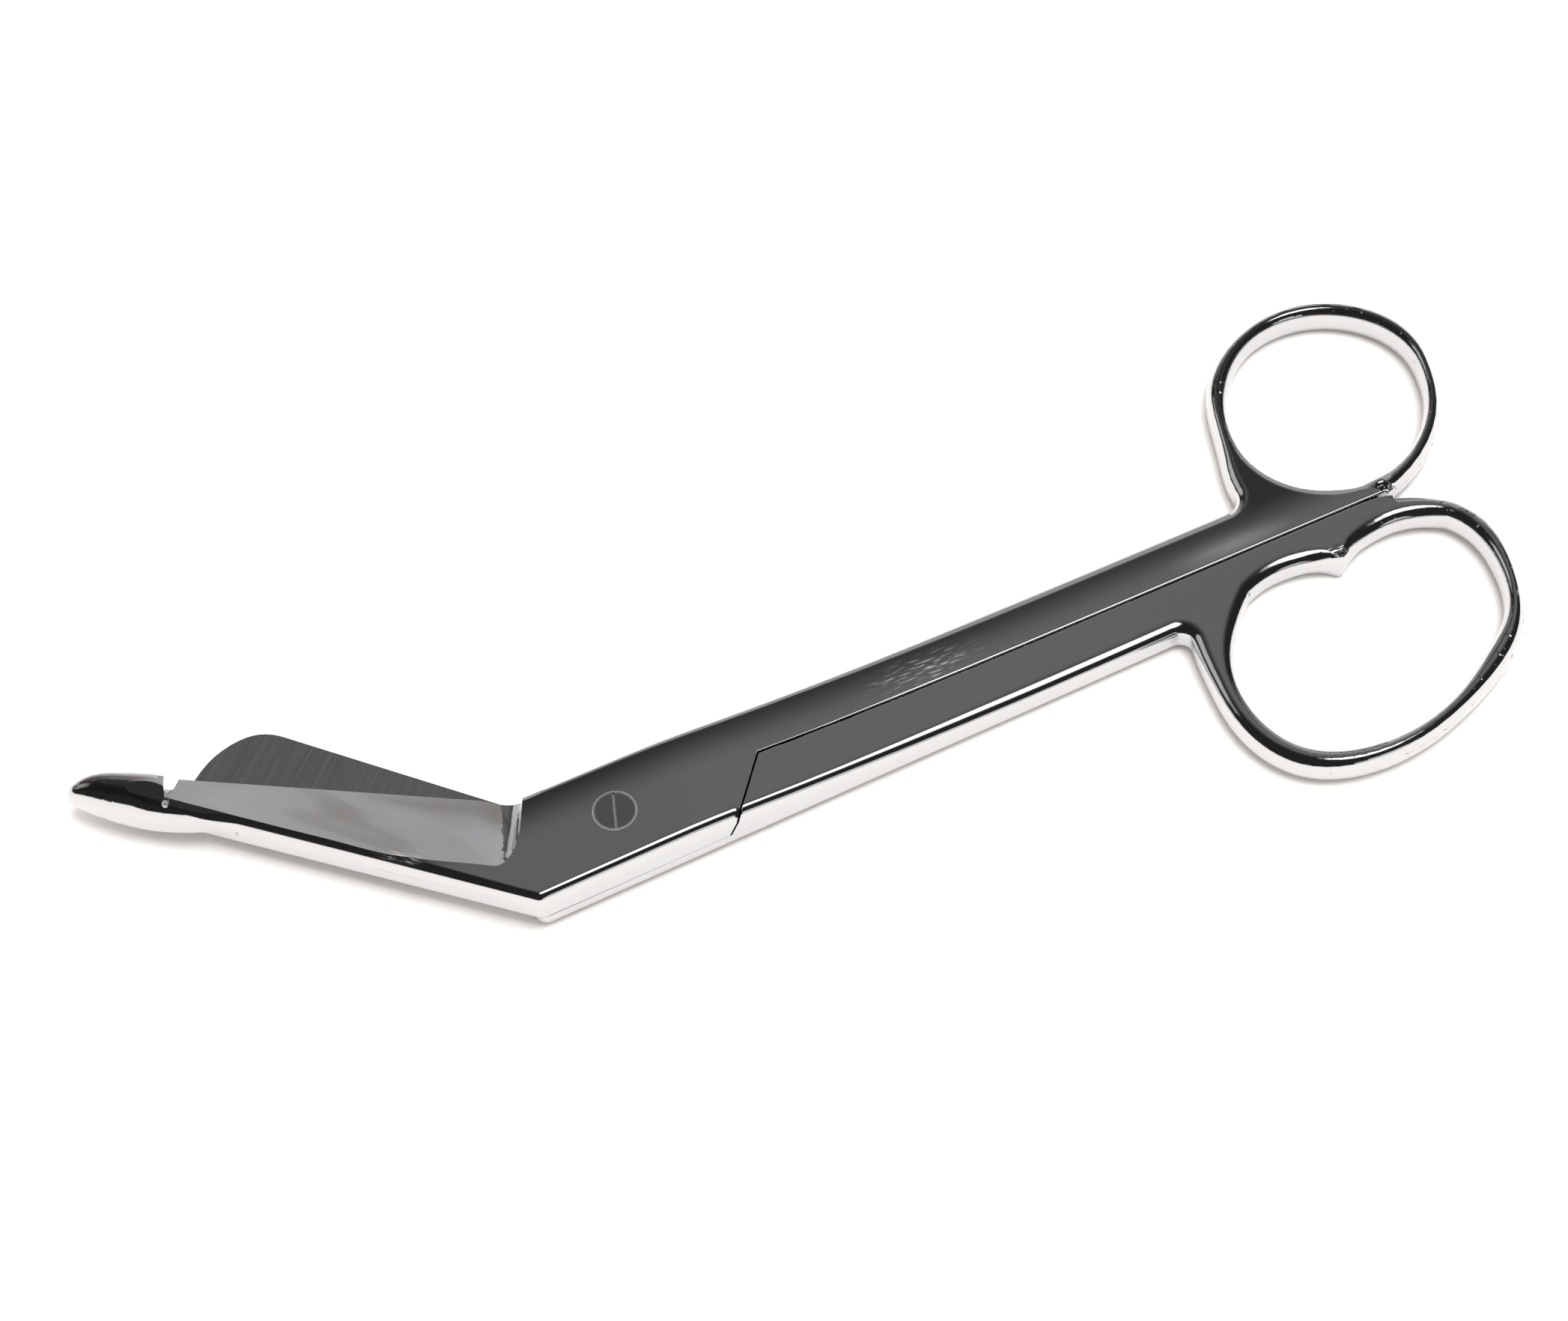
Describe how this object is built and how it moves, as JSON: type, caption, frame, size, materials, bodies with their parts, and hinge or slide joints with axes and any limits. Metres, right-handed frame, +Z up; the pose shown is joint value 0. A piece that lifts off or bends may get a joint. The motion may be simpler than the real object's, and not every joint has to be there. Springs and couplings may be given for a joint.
{
  "type": "bandage scissors",
  "caption": "Angled bandage scissors with a blunt probe tip on the longer blade, a rounded end on the shorter one, finger rings with a finger rest, and a flush pivot screw.",
  "frame": {"origin": "on the pivot axis at the table, at the lower end of the pivot screw", "axes": "+X along the closed handles to the finger rings, +Y to the side of the small ring, +Z up along the pivot axis to the screw's slotted head"},
  "size_m": [0.1413, 0.0528, 0.0056],
  "materials": {
    "polished_steel": "polished, with fine grinding lines on the flat faces",
    "screw_steel": "ground flush with the joint"
  },
  "bodies": {
    "round_half": {"round_blade_half": "polished_steel", "pivot_screw": "screw_steel"},
    "probe_half": {"probe_blade_half": "polished_steel"}
  },
  "joints": [
    {"name": "pivot", "type": "hinge", "parent": "round_half", "child": "probe_half", "pos_m": [0, 0, 0], "axis": [0, 0, 1], "range_deg": [0, 100]}
  ]
}
